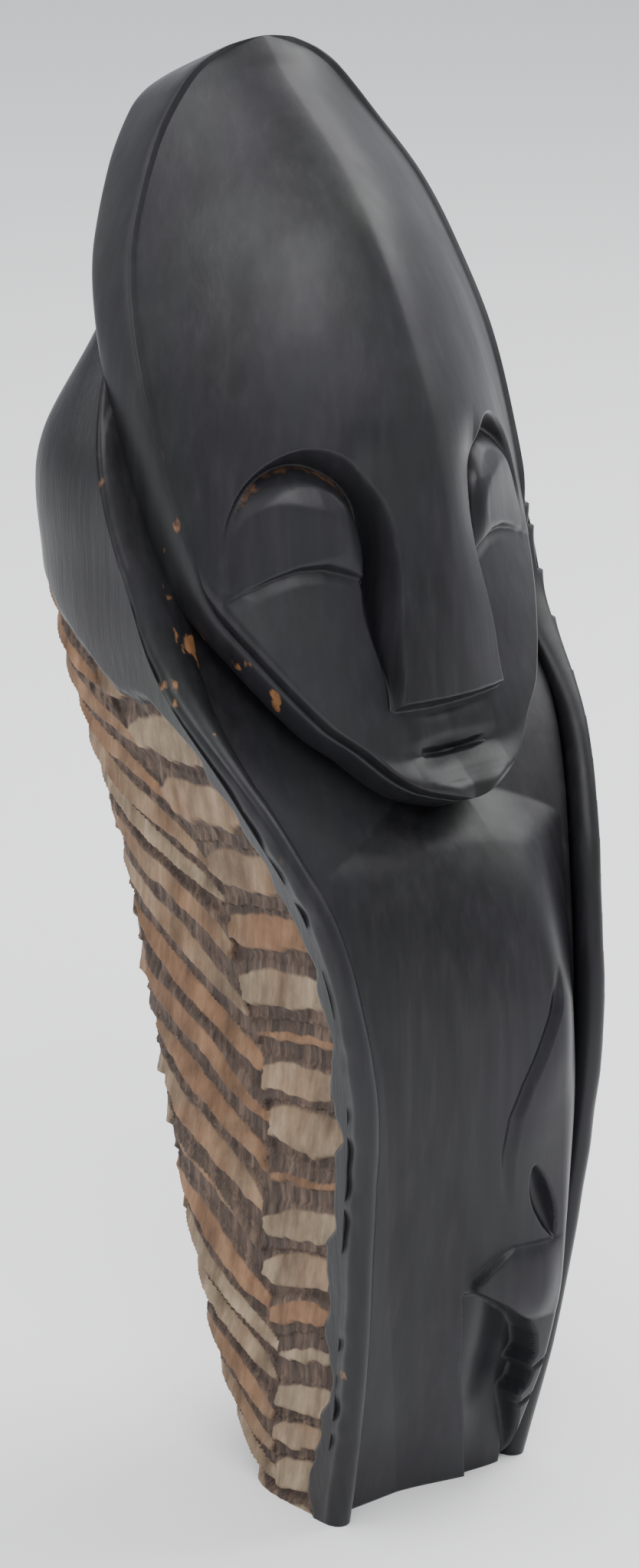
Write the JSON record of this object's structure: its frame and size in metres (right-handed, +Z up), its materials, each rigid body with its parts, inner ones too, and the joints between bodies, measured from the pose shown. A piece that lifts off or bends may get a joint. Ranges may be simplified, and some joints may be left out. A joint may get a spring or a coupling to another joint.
{
  "type": "carved wooden figure",
  "caption": "free-standing carved hardwood figure with a long leaning mask-like face, gouged hair down its back and a smooth torso with one hand",
  "frame": {"origin": "middle of the foot on the surface it stands on", "axes": "+Z up, the face looks along -Y, the figure's left is +X"},
  "size_m": [0.105, 0.0987, 0.2938],
  "materials": {
    "blackwood": "polished black heartwood",
    "sapwood": "raw gouged brown sapwood"
  },
  "bodies": {
    "root": {"face": "blackwood", "face_rim": "blackwood", "nose": "blackwood", "right_eyelid": "blackwood", "left_eyelid": "blackwood", "crown": "blackwood", "hair": "sapwood", "right_hair_band": "blackwood", "left_hair_band": "blackwood", "neck": "blackwood", "torso": "blackwood", "left_forearm": "blackwood", "left_thumb": "blackwood", "left_fingers": "blackwood"}
  },
  "joints": []
}
